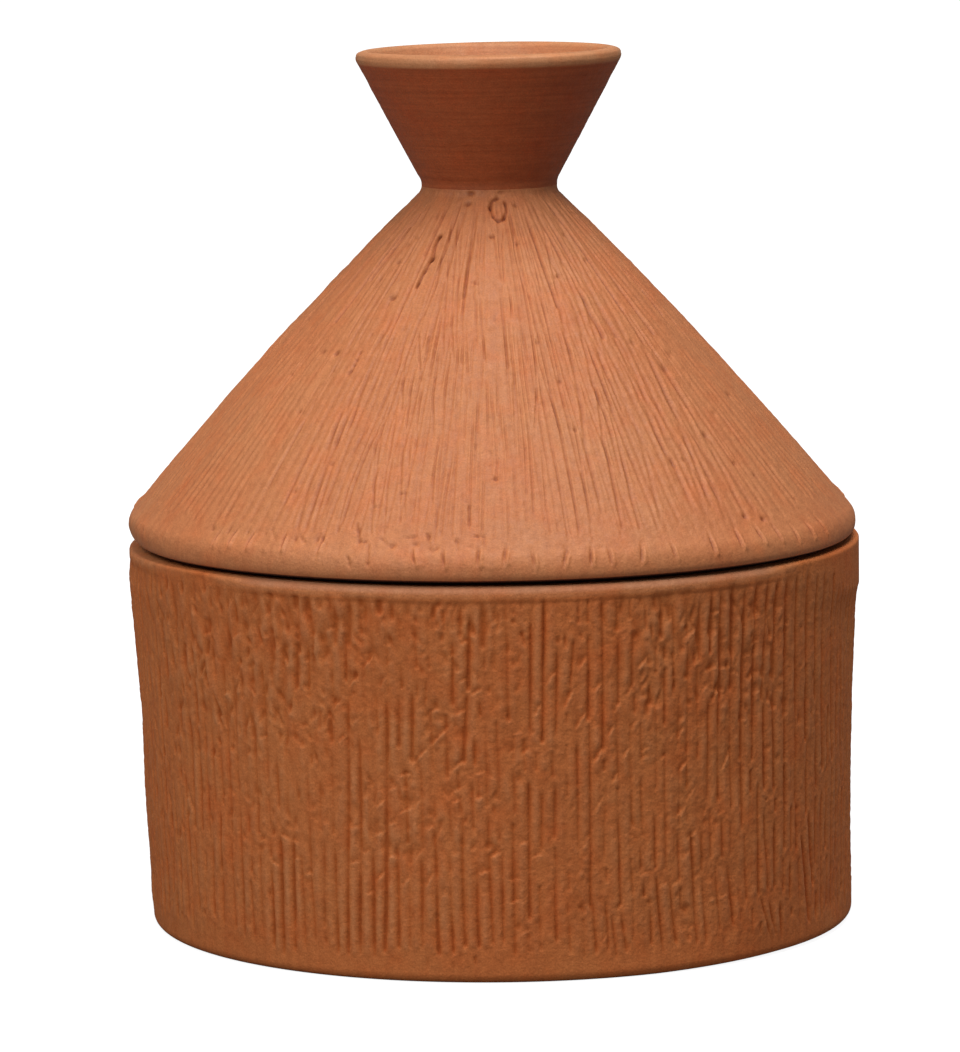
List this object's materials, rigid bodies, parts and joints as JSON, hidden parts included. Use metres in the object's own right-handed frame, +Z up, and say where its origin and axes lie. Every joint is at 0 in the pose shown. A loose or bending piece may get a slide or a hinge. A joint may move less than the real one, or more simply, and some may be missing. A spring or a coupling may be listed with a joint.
{
  "type": "terracotta container",
  "caption": "Round lidded terracotta container: straight combed pot, lift-off conical lid with a locating flange, and a hollow flared knob.",
  "frame": {"origin": "centre of the pot's flat foot, on the surface that it stands on", "axes": "+Z up along the axis of the pot and lid; the body is round, so +X and +Y are free, with -Y towards the viewer of the picture"},
  "size_m": [0.201, 0.201, 0.2391],
  "materials": {
    "fired_clay": "unglazed terracotta, matt, combed outside and plain inside",
    "lid_clay": "unglazed terracotta, matt, combed cone and smooth turned knob"
  },
  "bodies": {
    "pot": {"pot_wall": "fired_clay", "pot_floor": "fired_clay"},
    "lid": {"lid_cone": "lid_clay", "lid_flange": "lid_clay", "lid_knob": "lid_clay"}
  },
  "joints": [
    {"name": "lid_lift", "type": "slide", "parent": "pot", "child": "lid", "axis": [0, 0, 1], "range_m": [0, 0.2]}
  ]
}
